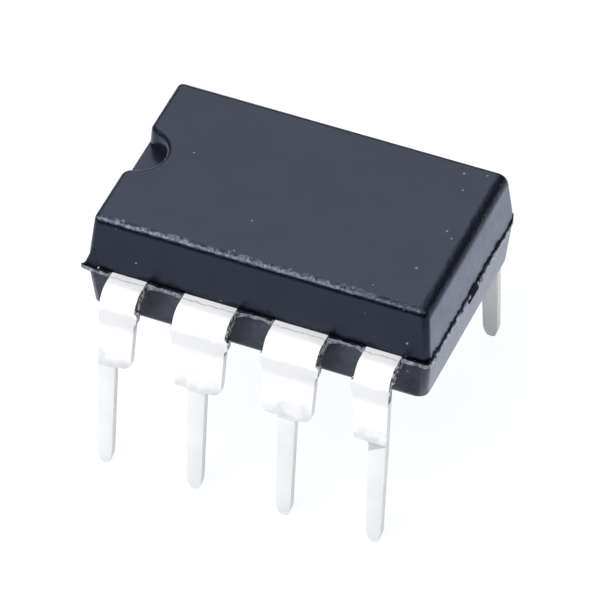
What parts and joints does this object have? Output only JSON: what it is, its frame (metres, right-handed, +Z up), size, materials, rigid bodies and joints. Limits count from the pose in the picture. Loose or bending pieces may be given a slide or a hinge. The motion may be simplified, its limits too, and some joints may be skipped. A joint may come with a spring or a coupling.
{
  "type": "dip integrated circuit chip",
  "caption": "Moulded plastic chip package with a half-round end notch and rows of bent, tinned leads that push through the holes of a circuit board.",
  "frame": {"origin": "below the middle of the body, in the plane of the lead tips that it stands on", "axes": "+X along the body, away from the notched end; +Y across the lead rows, towards leads 5 to 8; +Z up through the top face"},
  "size_m": [0.0098, 0.0086, 0.0074],
  "materials": {
    "epoxy": "matte silica-filled epoxy, as moulded",
    "tinned_lead": "matte tin plate",
    "copper_alloy": "bare rolled copper alloy",
    "silver_adhesive": "cured silver-filled adhesive",
    "silicon": "polished silicon",
    "gold_wire": "bright drawn gold"
  },
  "bodies": {
    "root": {"moulded_body": "epoxy", "lead_1": "tinned_lead", "lead_2": "tinned_lead", "lead_3": "tinned_lead", "lead_4": "tinned_lead", "lead_5": "tinned_lead", "lead_6": "tinned_lead", "lead_7": "tinned_lead", "lead_8": "tinned_lead", "die_pad": "copper_alloy", "die_attach": "silver_adhesive", "die": "silicon", "bond_wire_1": "gold_wire", "bond_wire_2": "gold_wire", "bond_wire_3": "gold_wire", "bond_wire_4": "gold_wire", "bond_wire_5": "gold_wire", "bond_wire_6": "gold_wire", "bond_wire_7": "gold_wire", "bond_wire_8": "gold_wire"}
  },
  "joints": []
}
